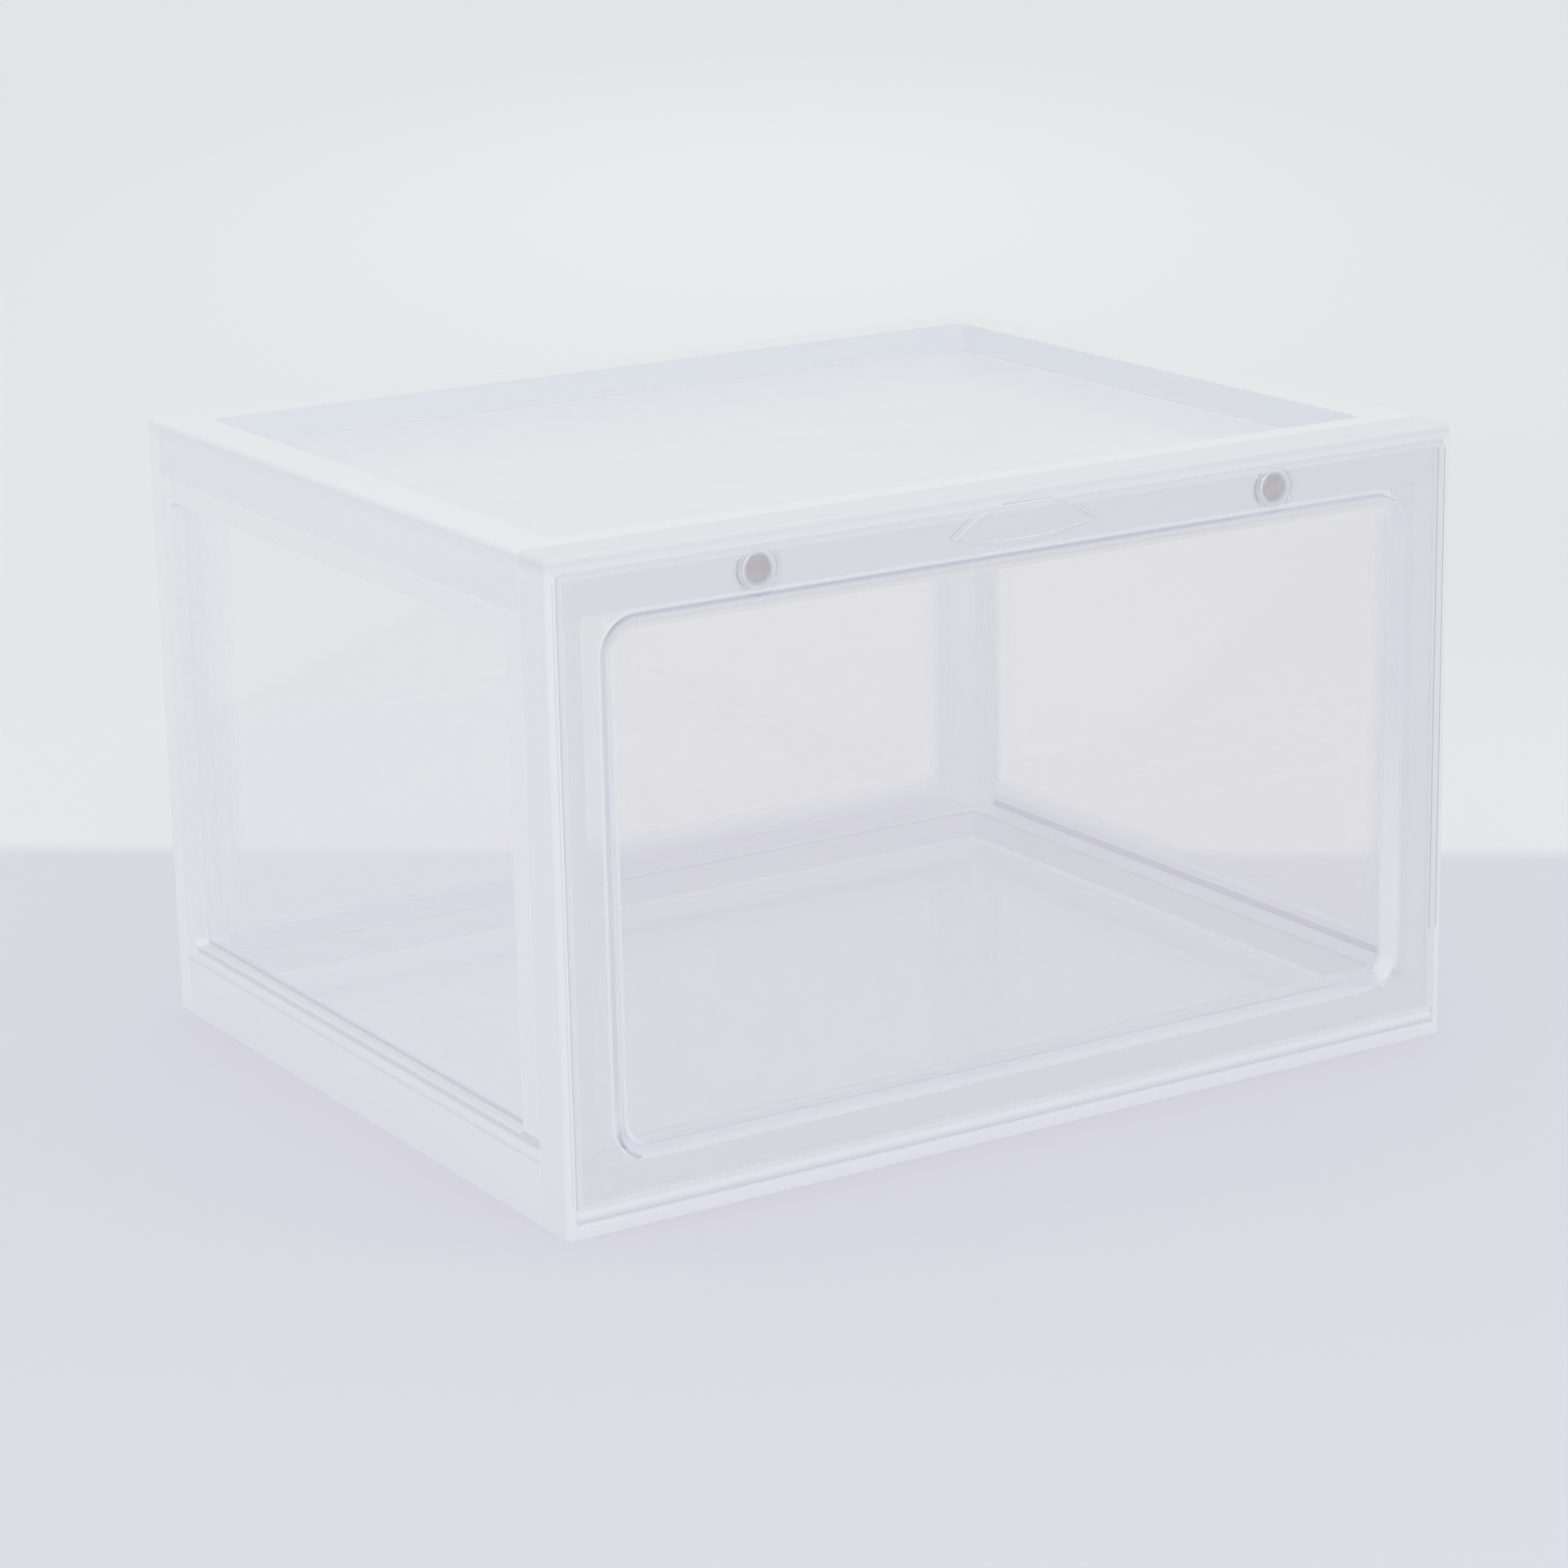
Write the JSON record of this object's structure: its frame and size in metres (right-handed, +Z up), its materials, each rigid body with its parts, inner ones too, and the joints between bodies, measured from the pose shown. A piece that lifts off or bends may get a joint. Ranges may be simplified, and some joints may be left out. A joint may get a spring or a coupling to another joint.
{
  "type": "drop-front shoe storage box",
  "caption": "Clear stackable shoe box: snap-together framed panels, a drop-front door hinged along its bottom edge with finger scoop and magnets, and a recessed top for stacking.",
  "frame": {"origin": "centre of the bounding box's bottom face, on the floor under the box", "axes": "+X to the right across the width, -Y to the front with the door, +Z up"},
  "size_m": [0.355, 0.29, 0.22],
  "materials": {
    "clear_case": "clear, faintly milky blue, glossy",
    "clear_door": "clear, glossy",
    "magnet": "plated, satin grey"
  },
  "bodies": {
    "case": {"base_panel": "clear_case", "top_panel": "clear_case", "left_side_panel": "clear_case", "right_side_panel": "clear_case", "back_panel": "clear_case", "front_frame": "clear_case", "frame_magnet_left": "magnet", "frame_magnet_right": "magnet"},
    "door": {"door": "clear_door", "door_magnet_left": "magnet", "door_magnet_right": "magnet"}
  },
  "joints": [
    {"name": "door_hinge", "type": "hinge", "parent": "case", "child": "door", "pos_m": [0, -0.1427, 0.0066], "axis": [1, 0, 0], "range_deg": [0, 90]}
  ]
}
